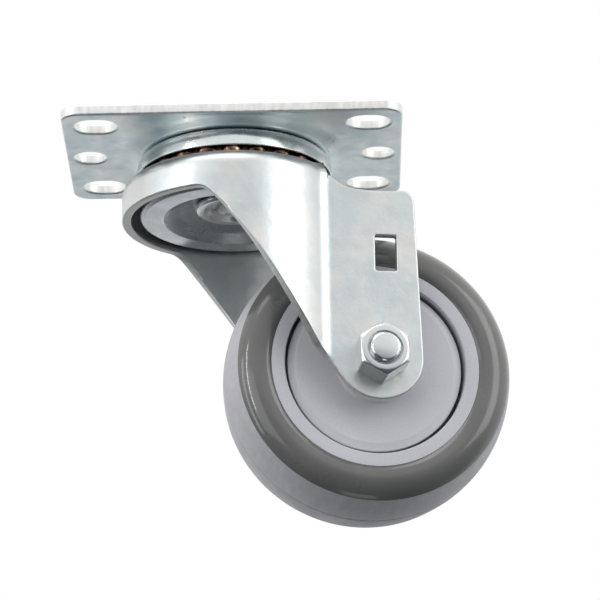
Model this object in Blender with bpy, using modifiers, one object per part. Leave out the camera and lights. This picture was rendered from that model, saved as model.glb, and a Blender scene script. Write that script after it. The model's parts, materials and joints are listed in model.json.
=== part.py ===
"""Swivel plate caster with a 3 inch wheel, modelled in metres.

X runs along the long side of the top plate, Y across it and Z up. The origin is on the
swivel axis, in the plane of the plate's top face. Turned profiles are lists of (radius,
height) points that run down the outer side. The fork is modelled with its trail along X,
then turned to its rest angle by an empty on the swivel axis. The wheel's pieces are
modelled with the axle along Z, then laid down by an empty on the axle.
"""

import math

import bmesh
import bpy
from mathutils import Matrix

# Fits
CLEARANCE = 0.0003
MERGE = 0.00001

# Top plate
PLATE_LENGTH = 0.0915
PLATE_THICKNESS = 0.0030
PLATE_CORNER = 0.0050
PLATE_SIDE_MARGIN = 0.0013
DISH_SEAT_MARGIN = 0.0017
DISH_SLOPE = 0.0040
DISH_DEPTH = 0.0015
SLOT_MARGIN_X = 0.00905
SLOT_MARGIN_Y = 0.0092
SLOT_LENGTH = 0.0116
SLOT_WIDTH = 0.0098
SIDE_HOLE_MARGIN = 0.00635
SIDE_HOLE_DIAMETER = 0.0088

# Swivel: kingpin, two rows of balls and their races
KINGPIN_NECK_RADIUS = 0.0065
KINGPIN_SHANK_RADIUS = 0.0090
KINGPIN_HEAD_RADIUS = 0.0100
KINGPIN_HEAD_HEIGHT = 0.0009
KINGPIN_FLARE_RADIUS = 0.0106
KINGPIN_FLARE_HEIGHT = 0.0014
KINGPIN_LIP_BEVEL = 0.0005
KINGPIN_LIP_WIDTH = 0.0011
KINGPIN_HOLLOW_TAPER = 0.0016
KINGPIN_HOLLOW_FLOOR_RADIUS = 0.0045
UPPER_BALL_RADIUS = 0.003175
UPPER_BALL_COUNT = 22
UPPER_BALL_GAP = 0.00005
LOWER_BALL_RADIUS = 0.0020
LOWER_BALL_COUNT = 32
LOWER_BALL_GAP = 0.0001
LOWER_BAR_RADIUS = 0.0007
LOWER_ROW_INSET = 0.0010
RACE_HUB_THICKNESS = 0.0017
RACE_TOP_OVERHANG = 0.0023
RACE_LIP_OVERHANG = 0.0041
RACE_LIP_DROP = 0.0050
CUP_SHEET = 0.0013
CUP_OVERHANG = 0.0045
CUP_HUB_RISE = 0.0040
CUP_RIM_HEIGHT = 0.0018
CUP_TRACK_INSET = 0.0019

# Fork
REST_SWIVEL = math.radians(9.4)
SHEET = 0.0024
CUP_SIDE_GAP = 0.0023
CROWN_OVERHANG = 0.0082
CROWN_BELOW_BALLS = 0.0018
CROWN_GROOVE_SHEET = 0.0021
CROWN_HOLE_LIP = 0.001525
CROWN_REAR_OVERHANG = 0.0038
CROWN_SETBACK = 0.0006
FORK_SHOULDER = 0.0040
FORK_FOLD_RADIUS = 0.0060
FORK_SKIRT_DEPTH = 0.0105
FORK_FRONT_SLOPE = math.radians(-54)
FORK_EAR_FRONT = 0.0012
FORK_EAR_BACK = 0.0015
FORK_EAR_DROP = 0.0019
FORK_TOP_EDGE_LENGTH = 0.0055
FORK_TOP_EDGE_DROP = 0.0035
FORK_REAR_TOP_DROP = 0.0078
FORK_REAR_INSET = 0.0014
FORK_LOBE_RADIUS = 0.0117
WINDOW_WIDTH = 0.0058
WINDOW_HEIGHT = 0.0100
WINDOW_FROM_REAR = 0.0081
WINDOW_BELOW_CROWN = 0.0259

# Axle
TRAIL = 0.0352
AXLE_RADIUS = 0.0040
AXLE_END_LENGTH = 0.0012
NUT_ACROSS_FLATS = 0.0130
NUT_HEIGHT = 0.0080
NUT_TURN = math.radians(-3)
NUT_CHAMFER = math.radians(30)
NUT_FACE_RADIUS = 0.0062
BOLT_HEAD_HEIGHT = 0.0053

# Wheel and its two ball bearings
WHEEL_RADIUS = 0.0384
WHEEL_TOP_GAP = 0.0081
TREAD_HALF_WIDTH = 0.0166
TREAD_SIDE_GAP = 0.0038
TREAD_CROWN = 0.0034
TREAD_THICKNESS = 0.0104
TREAD_SHOULDER = 0.0067
TREAD_BAND_STEPS = 3
TREAD_SHOULDER_STEPS = 5
RIM_THICKNESS = 0.0035
RIM_INSET = 0.0008
WEB_HALF_WIDTH = 0.0030
HUB_WALL = 0.0032
HUB_SHOULDER = 0.0028
BEARING_OUTER_RADIUS = 0.0110
BEARING_WIDTH = 0.0070
BEARING_GUARD_GAP = 0.0005
BEARING_BALL_COUNT = 7
BEARING_BALL_SHARE = 0.57
CAGE_RADIUS = 0.0007
SPACER_WALL = 0.0015
GUARD_EDGE_GAP = 0.00105
GUARD_INSET = 0.0013
GUARD_THICKNESS = 0.0015
GUARD_BOSS_RADIUS = 0.0090
GUARD_BOSS_WALL = 0.00175

# Ball rows: loose balls side by side, and what covers and carries them
UPPER_PITCH_RADIUS = (UPPER_BALL_RADIUS + UPPER_BALL_GAP / 2) / math.sin(math.pi / UPPER_BALL_COUNT)
LOWER_PITCH_RADIUS = max(
    UPPER_PITCH_RADIUS - LOWER_ROW_INSET,
    (LOWER_BALL_RADIUS + LOWER_BALL_GAP / 2) / math.sin(math.pi / LOWER_BALL_COUNT),
)
RACE_TOP_RADIUS = UPPER_PITCH_RADIUS + RACE_TOP_OVERHANG
RACE_LIP_RADIUS = UPPER_PITCH_RADIUS + RACE_LIP_OVERHANG
CUP_RADIUS = LOWER_PITCH_RADIUS + CUP_OVERHANG
CUP_DISH_RADIUS = LOWER_PITCH_RADIUS - CUP_TRACK_INSET
DISH_RADIUS = RACE_TOP_RADIUS + DISH_SEAT_MARGIN + DISH_SLOPE
PLATE_WIDTH = 2 * (DISH_RADIUS + PLATE_SIDE_MARGIN)
SLOT_SPACING_X = PLATE_LENGTH - 2 * SLOT_MARGIN_X
SLOT_SPACING_Y = PLATE_WIDTH - 2 * SLOT_MARGIN_Y
SIDE_HOLE_SPACING = PLATE_LENGTH - 2 * SIDE_HOLE_MARGIN

# Heights of the swivel, from the plate down
DISH_TOP = -DISH_DEPTH
DISH_BOTTOM = DISH_TOP - PLATE_THICKNESS
RACE_TOP = DISH_BOTTOM - CLEARANCE
RACE_HUB_BOTTOM = RACE_TOP - RACE_HUB_THICKNESS
UPPER_BALL_Z = RACE_HUB_BOTTOM - CLEARANCE * 2 - UPPER_BALL_RADIUS
CROWN_TOP = UPPER_BALL_Z - CROWN_BELOW_BALLS
GROOVE_RADIUS = UPPER_BALL_RADIUS + CLEARANCE
CROWN_BOTTOM = UPPER_BALL_Z - GROOVE_RADIUS - CROWN_GROOVE_SHEET
LOWER_BALL_Z = CROWN_BOTTOM - CLEARANCE - LOWER_BALL_RADIUS
CUP_FLOOR = LOWER_BALL_Z - LOWER_BALL_RADIUS - CLEARANCE
CUP_BOTTOM = CUP_FLOOR - CUP_SHEET
CUP_HUB_TOP = CUP_FLOOR + CUP_HUB_RISE
CUP_HUB_BOTTOM = CUP_HUB_TOP - CUP_SHEET
SKIRT_BOTTOM = CROWN_TOP - FORK_SKIRT_DEPTH

# Wheel: the rim carries the tread, and the axle hangs below the cup by the wheel's reach
RIM_OUTER_RADIUS = WHEEL_RADIUS - TREAD_THICKNESS
RIM_INNER_RADIUS = RIM_OUTER_RADIUS - RIM_THICKNESS
RIM_HALF_WIDTH = TREAD_HALF_WIDTH - RIM_INSET
GUARD_RADIUS = RIM_INNER_RADIUS - GUARD_EDGE_GAP
GUARD_FACE = RIM_HALF_WIDTH - GUARD_INSET
WHEEL_REACH = WHEEL_RADIUS + WHEEL_TOP_GAP
AXLE_DROP = math.sqrt(WHEEL_REACH**2 - max(TRAIL - CUP_RADIUS, 0) ** 2) - CUP_BOTTOM
AXLE_BORE = AXLE_RADIUS + CLEARANCE
BEARING_SPACE = BEARING_OUTER_RADIUS - AXLE_BORE
BEARING_PITCH_RADIUS = AXLE_BORE + BEARING_SPACE / 2
BEARING_BALL_RADIUS = BEARING_SPACE / 2 * BEARING_BALL_SHARE
BEARING_RING_WALL = (BEARING_SPACE - BEARING_BALL_RADIUS) / 2 - CLEARANCE * 2
BEARING_FACE = GUARD_FACE - GUARD_THICKNESS - BEARING_GUARD_GAP
BEARING_CENTRE = BEARING_FACE - BEARING_WIDTH / 2
BEARING_GAP = 2 * (BEARING_FACE - BEARING_WIDTH)

# Fork: round the cup and the balls in front, beside the wheel behind
FORK_RADIUS = max(UPPER_PITCH_RADIUS + CROWN_OVERHANG, CUP_RADIUS + CUP_SIDE_GAP + SHEET)
CROWN_HOLE_INSET = GROOVE_RADIUS + CROWN_HOLE_LIP
FORK_HOLE_RADIUS = UPPER_PITCH_RADIUS - CROWN_HOLE_INSET
LEG_INNER_FACE = TREAD_HALF_WIDTH + TREAD_SIDE_GAP
FORK_LEG_FACE = LEG_INNER_FACE + SHEET
FORK_FOLD_X = math.sqrt((FORK_RADIUS + FORK_FOLD_RADIUS) ** 2 - (FORK_LEG_FACE + FORK_FOLD_RADIUS) ** 2)
FORK_CROWN_END = FORK_FOLD_X - CROWN_SETBACK
CROWN_REAR_RADIUS = UPPER_PITCH_RADIUS + CROWN_REAR_OVERHANG
FORK_REAR_X = TRAIL + FORK_LOBE_RADIUS - FORK_REAR_INSET
WINDOW_CENTRE_X = FORK_REAR_X - WINDOW_FROM_REAR
WINDOW_CENTRE_Z = CROWN_TOP - WINDOW_BELOW_CROWN

ZINC = ((0.62, 0.66, 0.68, 1), 0.28, 1.0)
STEEL = ((0.50, 0.49, 0.47, 1), 0.15, 1.0)
GREY_PLASTIC = ((0.34, 0.34, 0.38, 1), 0.55, 0.0)
TREAD_GREY = ((0.12, 0.12, 0.115, 1), 0.30, 0.0)
DOWN = (math.pi / 2, 0, 0)


def clear_scene():
    for obj in list(bpy.data.objects):
        bpy.data.objects.remove(obj, do_unlink=True)


def new_collection(name):
    collection = bpy.data.collections.new(name)
    bpy.context.scene.collection.children.link(collection)
    return collection


def add_object(name, data, collection):
    obj = bpy.data.objects.new(name, data)
    collection.objects.link(obj)
    return obj


def empty(name, location, rotation, parent=None):
    frame = add_object(name, None, PARTS)
    frame.location = location
    frame.rotation_euler = rotation
    frame.parent = parent
    return frame


def finish(obj, look, parent=None):
    """Gives the object its own material and puts it under its joint's empty."""
    colour, roughness, metallic = look
    material = bpy.data.materials.new(obj.name)
    material.use_nodes = True
    shader = material.node_tree.nodes["Principled BSDF"]
    shader.inputs["Base Color"].default_value = colour
    shader.inputs["Roughness"].default_value = roughness
    shader.inputs["Metallic"].default_value = metallic
    obj.data.materials.append(material)
    if obj.type == "MESH":
        obj.data.shade_smooth()
        obj.data.set_sharp_from_angle(angle=math.radians(35))
    obj.parent = parent
    return obj


def cutter(obj, parent=None):
    obj.hide_render = True
    obj.display_type = "WIRE"
    obj.parent = parent
    return obj


def boolean(obj, tool, operation):
    modifier = obj.modifiers.new(f"{operation.lower()} {tool.name}", "BOOLEAN")
    modifier.operation = operation
    modifier.solver = "EXACT"
    modifier.object = tool


def arc(centre_x, centre_y, radius, start, end, steps):
    """Points on a circle, from the start angle to the end angle in degrees."""
    angles = [math.radians(start + (end - start) * i / steps) for i in range(steps + 1)]
    return [(centre_x + radius * math.cos(a), centre_y + radius * math.sin(a)) for a in angles]


def turned(name, profile, collection, steps=48):
    """A profile spun about Z. It closes on itself, or on the axis where both ends lie on it."""
    mesh = bpy.data.meshes.new(name)
    points = [(radius, 0, height) for radius, height in profile]
    edges = [(i, i + 1) for i in range(len(points) - 1)]
    if profile[0][0] > 0:
        edges.append((len(points) - 1, 0))
    mesh.from_pydata(points, edges, [])
    obj = add_object(name, mesh, collection)
    screw = obj.modifiers.new("turn", "SCREW")
    screw.steps = steps
    screw.render_steps = steps
    screw.use_merge_vertices = True
    screw.merge_threshold = MERGE
    screw.use_smooth_shade = True
    return obj


def extruded(name, outlines, thickness, collection):
    """Flat outlines, with any holes inside the first one, as a mesh centred on Z = 0."""
    curve = bpy.data.curves.new(name, "CURVE")
    curve.dimensions = "2D"
    curve.fill_mode = "BOTH"
    curve.extrude = thickness / 2
    for outline in outlines:
        spline = curve.splines.new("POLY")
        spline.points.add(len(outline) - 1)
        for point, (x, y) in zip(spline.points, outline):
            point.co = (x, y, 0, 1)
        spline.use_cyclic_u = True
    drawn = add_object(f"{name} outline", curve, collection)
    graph = bpy.context.evaluated_depsgraph_get()
    mesh = bpy.data.meshes.new_from_object(drawn.evaluated_get(graph))
    mesh.name = name
    work = bmesh.new()
    work.from_mesh(mesh)
    bmesh.ops.remove_doubles(work, verts=work.verts, dist=MERGE)
    bmesh.ops.recalc_face_normals(work, faces=work.faces)
    work.to_mesh(mesh)
    work.free()
    obj = add_object(name, mesh, collection)
    obj.matrix_world = drawn.matrix_world
    bpy.data.objects.remove(drawn, do_unlink=True)
    return obj


def spheres(name, centres, radius, collection, segments=8, rings=6):
    work = bmesh.new()
    for centre in centres:
        place = Matrix.Translation(centre)
        bmesh.ops.create_uvsphere(
            work, u_segments=segments, v_segments=rings, radius=radius, matrix=place
        )
    mesh = bpy.data.meshes.new(name)
    work.to_mesh(mesh)
    work.free()
    return add_object(name, mesh, collection)


def cylinder(name, radius, depth, collection, segments, turn=0.0):
    work = bmesh.new()
    bmesh.ops.create_cone(
        work,
        cap_ends=True,
        segments=segments,
        radius1=radius,
        radius2=radius,
        depth=depth,
        matrix=Matrix.Rotation(turn, 4, "Z"),
    )
    mesh = bpy.data.meshes.new(name)
    work.to_mesh(mesh)
    work.free()
    return add_object(name, mesh, collection)


def box(name, size, collection):
    work = bmesh.new()
    bmesh.ops.create_cube(work, size=1, matrix=Matrix.Diagonal((*size, 1)))
    mesh = bpy.data.meshes.new(name)
    work.to_mesh(mesh)
    work.free()
    return add_object(name, mesh, collection)


def ring_points(count, radius, height):
    """Places evenly spaced round Z, the first of them half a step from X."""
    turns = [2 * math.pi * (i + 0.5) / count for i in range(count)]
    return [(radius * math.cos(t), radius * math.sin(t), height) for t in turns]


def slot_outline(x, y, length, width, steps=10):
    reach = (length - width) / 2
    right = arc(x + reach, y, width / 2, -90, 90, steps)
    left = arc(x - reach, y, width / 2, 90, 270, steps)
    return right + left if reach > MERGE else right[:-1] + left[:-1]


def rounded_rectangle(length, width, corner, steps=5):
    x = length / 2 - corner
    y = width / 2 - corner
    points = []
    for turn, (side_x, side_y) in enumerate([(1, 1), (-1, 1), (-1, -1), (1, -1)]):
        points += arc(side_x * x, side_y * y, corner, turn * 90, turn * 90 + 90, steps)
    return points


def make_top_plate():
    """Rectangular plate, pressed down round the kingpin, with four slots and two side holes."""
    outlines = [rounded_rectangle(PLATE_LENGTH, PLATE_WIDTH, PLATE_CORNER)]
    for side in (-1, 1):
        for end in (-1, 1):
            x = side * SLOT_SPACING_X / 2
            y = end * SLOT_SPACING_Y / 2
            outlines.append(slot_outline(x, y, SLOT_LENGTH, SLOT_WIDTH))
        x = side * SIDE_HOLE_SPACING / 2
        outlines.append(slot_outline(x, 0, SIDE_HOLE_DIAMETER, SIDE_HOLE_DIAMETER))
    plate = extruded("top_plate", outlines, PLATE_THICKNESS, PARTS)
    plate.location.z = -PLATE_THICKNESS / 2
    floor = DISH_RADIUS - DISH_SLOPE
    boss = [
        (0, DISH_TOP - PLATE_THICKNESS / 4),
        (DISH_RADIUS, DISH_TOP - PLATE_THICKNESS / 4),
        (DISH_RADIUS, -PLATE_THICKNESS - MERGE),
        (floor, DISH_BOTTOM),
        (0, DISH_BOTTOM),
    ]
    recess = [
        (0, PLATE_THICKNESS),
        (DISH_RADIUS - DISH_SLOPE / 4, PLATE_THICKNESS),
        (DISH_RADIUS - DISH_SLOPE / 4, 0),
        (floor - DISH_SLOPE / 4, DISH_TOP),
        (KINGPIN_NECK_RADIUS + CLEARANCE, DISH_TOP),
        (KINGPIN_NECK_RADIUS + CLEARANCE, DISH_BOTTOM - PLATE_THICKNESS),
        (0, DISH_BOTTOM - PLATE_THICKNESS),
    ]
    boolean(plate, cutter(turned("dish boss", boss, CUTTERS)), "UNION")
    boolean(plate, cutter(turned("dish recess", recess, CUTTERS)), "DIFFERENCE")
    finish(plate, ZINC)


def make_upper_race_ring():
    """Pressed ring under the plate whose groove covers the upper balls."""
    groove = arc(UPPER_PITCH_RADIUS, UPPER_BALL_Z, GROOVE_RADIUS, 12, 168, 8)
    inner_wall = groove[-1][0] - CUP_SHEET
    profile = [
        (RACE_TOP_RADIUS, RACE_TOP),
        ((RACE_TOP_RADIUS + RACE_LIP_RADIUS) / 2, RACE_TOP - RACE_LIP_DROP * 0.4),
        (RACE_LIP_RADIUS, RACE_TOP - RACE_LIP_DROP),
        *groove,
        (inner_wall, groove[-1][1]),
        (inner_wall, RACE_HUB_BOTTOM),
        (KINGPIN_NECK_RADIUS + CLEARANCE, RACE_HUB_BOTTOM),
        (KINGPIN_NECK_RADIUS + CLEARANCE, RACE_TOP),
    ]
    finish(turned("upper_race_ring", profile, PARTS), ZINC)


def make_kingpin():
    """Stepped pin whose head sits in the plate's dish and whose flared end holds the cup."""
    flare_top = CUP_HUB_BOTTOM - CLEARANCE
    flare_bottom = flare_top - KINGPIN_FLARE_HEIGHT
    lip = KINGPIN_FLARE_RADIUS - KINGPIN_LIP_BEVEL
    profile = [
        (0, DISH_TOP + CLEARANCE + KINGPIN_HEAD_HEIGHT),
        (KINGPIN_HEAD_RADIUS, DISH_TOP + CLEARANCE + KINGPIN_HEAD_HEIGHT),
        (KINGPIN_HEAD_RADIUS, DISH_TOP + CLEARANCE),
        (KINGPIN_NECK_RADIUS, DISH_TOP + CLEARANCE),
        (KINGPIN_NECK_RADIUS, RACE_HUB_BOTTOM - CLEARANCE),
        (KINGPIN_SHANK_RADIUS, RACE_HUB_BOTTOM - CLEARANCE),
        (KINGPIN_SHANK_RADIUS, CUP_HUB_TOP + CLEARANCE),
        (KINGPIN_NECK_RADIUS, CUP_HUB_TOP + CLEARANCE),
        (KINGPIN_NECK_RADIUS, flare_top),
        (KINGPIN_FLARE_RADIUS - KINGPIN_FLARE_HEIGHT / 2, flare_top),
        (KINGPIN_FLARE_RADIUS, flare_top - KINGPIN_FLARE_HEIGHT / 2),
        (lip, flare_bottom),
        (lip - KINGPIN_LIP_WIDTH, flare_bottom),
        (lip - KINGPIN_LIP_WIDTH - KINGPIN_HOLLOW_TAPER, flare_top - KINGPIN_FLARE_HEIGHT / 4),
        (KINGPIN_HOLLOW_FLOOR_RADIUS, CUP_HUB_TOP),
        (0, CUP_HUB_TOP + CUP_SHEET),
    ]
    finish(turned("kingpin", profile, PARTS, steps=32), ZINC)


def make_lower_race_cup():
    """Dished washer under the fork that carries the lower balls."""
    hub = KINGPIN_NECK_RADIUS + CLEARANCE
    flat_hub = KINGPIN_FLARE_RADIUS
    wall = CUP_RADIUS - CUP_SHEET
    rim_top = CUP_FLOOR + CUP_RIM_HEIGHT
    middle = (flat_hub + CUP_DISH_RADIUS) / 2
    middle_rise = CUP_HUB_RISE / 2
    profile = [
        (CUP_RADIUS, rim_top),
        (CUP_RADIUS, CUP_BOTTOM + CUP_SHEET / 2),
        (CUP_RADIUS - CUP_SHEET / 2, CUP_BOTTOM),
        (CUP_DISH_RADIUS, CUP_BOTTOM),
        (middle, CUP_BOTTOM + middle_rise),
        (flat_hub, CUP_HUB_BOTTOM),
        (hub, CUP_HUB_BOTTOM),
        (hub, CUP_HUB_TOP),
        (flat_hub, CUP_HUB_TOP),
        (middle - CUP_SHEET / 4, CUP_FLOOR + middle_rise),
        (CUP_DISH_RADIUS - CUP_SHEET / 4, CUP_FLOOR),
        (wall, CUP_FLOOR),
        (wall, rim_top),
    ]
    finish(turned("lower_race_cup", profile, PARTS), ZINC)


def make_upper_balls():
    """Full row of loose balls between the upper race ring and the fork's crown."""
    for number, place in enumerate(ring_points(UPPER_BALL_COUNT, UPPER_PITCH_RADIUS, UPPER_BALL_Z), 1):
        ball = spheres(f"upper_ball_{number:02d}", [(0, 0, 0)], UPPER_BALL_RADIUS, PARTS)
        ball.location = place
        finish(ball, STEEL)


def ball_ring(name, pitch, height, ball_radius, count, bar_radius, steps):
    """Balls joined by a thin ring through their centres."""
    bar = turned(name, arc(pitch, height, bar_radius, 0, -270, 3), PARTS, steps)
    places = ring_points(count, pitch, height)
    balls = cutter(spheres(f"{name} balls", places, ball_radius, CUTTERS, segments=7, rings=4))
    boolean(bar, balls, "UNION")
    return bar, balls


def fork_leg_outline(face, fold, drum):
    """Both legs seen from above: straight faces that flow into the round front in a hollow fold."""
    drum -= SHEET / 40
    centre_y = face + fold
    centre_x = math.sqrt((drum + fold) ** 2 - centre_y**2)
    meet = math.degrees(math.atan2(centre_y, centre_x))
    reach = 1.5 * FORK_REAR_X
    lower = arc(centre_x, -centre_y, fold, 90, 180 - meet, 6)
    upper = arc(centre_x, centre_y, fold, 180 + meet, 270, 6)
    return [(reach, -face), *lower, (0, -drum / 3), (0, drum / 3), *upper, (reach, face)]


def fork_side_outline():
    """Fork seen from the side: short skirt in front, slanting edge, axle lobe and rear edge."""
    lobe = arc(TRAIL, -AXLE_DROP, FORK_LOBE_RADIUS, 0, math.degrees(FORK_FRONT_SLOPE) - 90, 14)
    foot_x, foot_z = lobe[-1]
    ear_x = foot_x - (foot_z - SKIRT_BOTTOM) / math.tan(FORK_FRONT_SLOPE)
    shoulder_z = CROWN_TOP - FORK_SHOULDER
    edge_z = shoulder_z - FORK_TOP_EDGE_DROP
    corner_z = shoulder_z - FORK_REAR_TOP_DROP
    rear = arc(FORK_REAR_X - FORK_SHOULDER, corner_z, FORK_SHOULDER, 90, 0, 5)
    beyond = -1.5 * FORK_RADIUS
    return [
        *lobe,
        (ear_x + FORK_EAR_BACK, SKIRT_BOTTOM - FORK_EAR_DROP),
        (ear_x - FORK_EAR_FRONT, SKIRT_BOTTOM),
        (beyond, SKIRT_BOTTOM),
        (beyond, 0),
        (FORK_CROWN_END, 0),
        (FORK_CROWN_END, shoulder_z + CLEARANCE),
        (FORK_CROWN_END + CLEARANCE * 3, shoulder_z - CLEARANCE),
        (FORK_CROWN_END + FORK_TOP_EDGE_LENGTH, edge_z),
        *rear,
    ]


def make_fork(swivel):
    """Pressed fork: round crown with ball groove, short skirt and two legs for the axle."""
    low = -1.4 * AXLE_DROP
    shoulder_x = FORK_RADIUS - FORK_SHOULDER
    shoulder_z = CROWN_TOP - FORK_SHOULDER
    half_groove = math.degrees(math.acos((UPPER_BALL_Z - CROWN_TOP) / GROOVE_RADIUS))
    groove = arc(UPPER_PITCH_RADIUS, UPPER_BALL_Z, GROOVE_RADIUS, -90 - half_groove, -90 + half_groove, 6)
    drum = [
        (FORK_HOLE_RADIUS, CROWN_TOP),
        *groove,
        *arc(shoulder_x, shoulder_z, FORK_SHOULDER, 90, 0, 5),
        (FORK_RADIUS, low),
        (FORK_HOLE_RADIUS, low),
    ]
    inner = FORK_RADIUS - SHEET
    bead = UPPER_PITCH_RADIUS - GROOVE_RADIUS
    hollow = [
        (0, CROWN_TOP - SHEET),
        (bead - SHEET / 3, CROWN_TOP - SHEET),
        (bead + SHEET / 5, CROWN_BOTTOM),
        (UPPER_PITCH_RADIUS + GROOVE_RADIUS, CROWN_BOTTOM),
        (inner, CROWN_BOTTOM - SHEET / 2),
        (inner, 1.1 * low),
        (0, 1.1 * low),
    ]
    legs_depth = shoulder_z - low
    legs = fork_leg_outline(FORK_LEG_FACE, FORK_FOLD_RADIUS, FORK_RADIUS)
    channel = fork_leg_outline(LEG_INNER_FACE, FORK_FOLD_RADIUS + SHEET, inner)
    fork = turned("fork", drum, PARTS, steps=56)
    leg_block = extruded("leg block", [legs], legs_depth, CUTTERS)
    leg_block.location.z = (shoulder_z + low) / 2
    leg_channel = extruded("leg channel", [channel], legs_depth, CUTTERS)
    leg_channel.location.z = (shoulder_z + low) / 2 - CLEARANCE
    side = extruded("side outline", [fork_side_outline()], 4 * FORK_LEG_FACE, CUTTERS)
    side.rotation_euler = DOWN
    shelf_height = FORK_SHOULDER + CLEARANCE - CROWN_TOP
    shelf = cylinder("rear shelf", CROWN_REAR_RADIUS, shelf_height, CUTTERS, 56)
    shelf.location.z = -shelf_height / 2
    boolean(side, cutter(shelf, swivel), "UNION")
    window = box("window", (WINDOW_WIDTH, 4 * FORK_LEG_FACE, WINDOW_HEIGHT), CUTTERS)
    window.location = (WINDOW_CENTRE_X, 0, WINDOW_CENTRE_Z)
    bore = cylinder("axle bore", AXLE_BORE, 4 * FORK_LEG_FACE, CUTTERS, 24)
    bore.location = (TRAIL, 0, -AXLE_DROP)
    bore.rotation_euler = DOWN
    boolean(fork, cutter(leg_block, swivel), "UNION")
    boolean(fork, cutter(turned("fork hollow", hollow, CUTTERS, steps=56), swivel), "DIFFERENCE")
    boolean(fork, cutter(side, swivel), "INTERSECT")
    boolean(fork, cutter(leg_channel, swivel), "DIFFERENCE")
    boolean(fork, cutter(window, swivel), "DIFFERENCE")
    boolean(fork, cutter(bore, swivel), "DIFFERENCE")
    finish(fork, ZINC, swivel)


def hexagon(name, height, low, collection):
    """Six-sided block, flats NUT_ACROSS_FLATS apart, standing on the height low."""
    corner = NUT_ACROSS_FLATS / math.sqrt(3)
    block = cylinder(name, corner, height, collection, 6, NUT_TURN)
    block.data.transform(Matrix.Translation((0, 0, low + height / 2)))
    return block


def chamfered(block, low, high, parent):
    """Cuts the corners of the hexagon's high end back to a cone."""
    side = 1 if high > low else -1
    reach = NUT_ACROSS_FLATS * 0.7
    drop = (reach - NUT_FACE_RADIUS) * math.tan(NUT_CHAMFER)
    heights = [(NUT_FACE_RADIUS, high), (reach, high - side * drop), (reach, low - side)]
    ends = [(0, high), *heights, (0, low - side)]
    profile = ends if side > 0 else ends[::-1]
    cone = cutter(turned(f"{block.name} chamfer", profile, CUTTERS, steps=36), parent)
    boolean(block, cone, "INTERSECT")


def make_axle(axle):
    """Hexagon bolt through both legs, its nut and the tube between the bearings."""
    head_low = FORK_LEG_FACE + CLEARANCE
    nut_high = -head_low
    nut_low = nut_high - NUT_HEIGHT
    end = nut_low - AXLE_END_LENGTH
    shank = [
        (0, head_low + BOLT_HEAD_HEIGHT / 2),
        (AXLE_RADIUS, head_low + BOLT_HEAD_HEIGHT / 2),
        (AXLE_RADIUS, end + AXLE_RADIUS * 0.25),
        (AXLE_RADIUS * 0.80, end),
        (0, end - AXLE_RADIUS * 0.05),
    ]
    bolt = hexagon("axle_bolt", BOLT_HEAD_HEIGHT, head_low, PARTS)
    chamfered(bolt, head_low, head_low + BOLT_HEAD_HEIGHT, axle)
    boolean(bolt, cutter(turned("axle shank", shank, CUTTERS, steps=24), axle), "UNION")
    finish(bolt, ZINC, axle)

    nut = hexagon("axle_nut", NUT_HEIGHT, nut_low, PARTS)
    chamfered(nut, nut_high, nut_low, axle)
    thread = cylinder("nut bore", AXLE_BORE, 4 * FORK_LEG_FACE, CUTTERS, 24)
    boolean(nut, cutter(thread, axle), "DIFFERENCE")
    finish(nut, ZINC, axle)

    half = BEARING_GAP / 2 - CLEARANCE
    outer = AXLE_BORE + SPACER_WALL
    tube = [(outer, half), (outer, -half), (AXLE_BORE, -half), (AXLE_BORE, half)]
    finish(turned("axle_spacer", tube, PARTS, steps=24), STEEL, axle)


def make_thread_guard(name, side, axle):
    """Fixed disc in the mouth of the rim, with a boss that reaches the fork's leg."""
    low = GUARD_FACE - GUARD_THICKNESS
    boss_end = LEG_INNER_FACE - CLEARANCE
    inner_boss = AXLE_BORE + GUARD_BOSS_WALL
    edge = GUARD_THICKNESS / 5
    profile = [
        (GUARD_BOSS_RADIUS * 0.9, boss_end),
        (GUARD_BOSS_RADIUS, GUARD_FACE),
        (GUARD_RADIUS - edge, GUARD_FACE),
        (GUARD_RADIUS, GUARD_FACE - edge),
        (GUARD_RADIUS, low),
        (inner_boss, low),
        (inner_boss, BEARING_FACE + CLEARANCE),
        (AXLE_BORE, BEARING_FACE + CLEARANCE),
        (AXLE_BORE, boss_end),
    ]
    guard = turned(name, mirrored(profile, side), PARTS, steps=40)
    finish(guard, GREY_PLASTIC, axle)


def mirrored(profile, side):
    """The profile on the given side of the wheel, still running down its outer side."""
    return profile if side > 0 else [(radius, -height) for radius, height in reversed(profile)]


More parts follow.
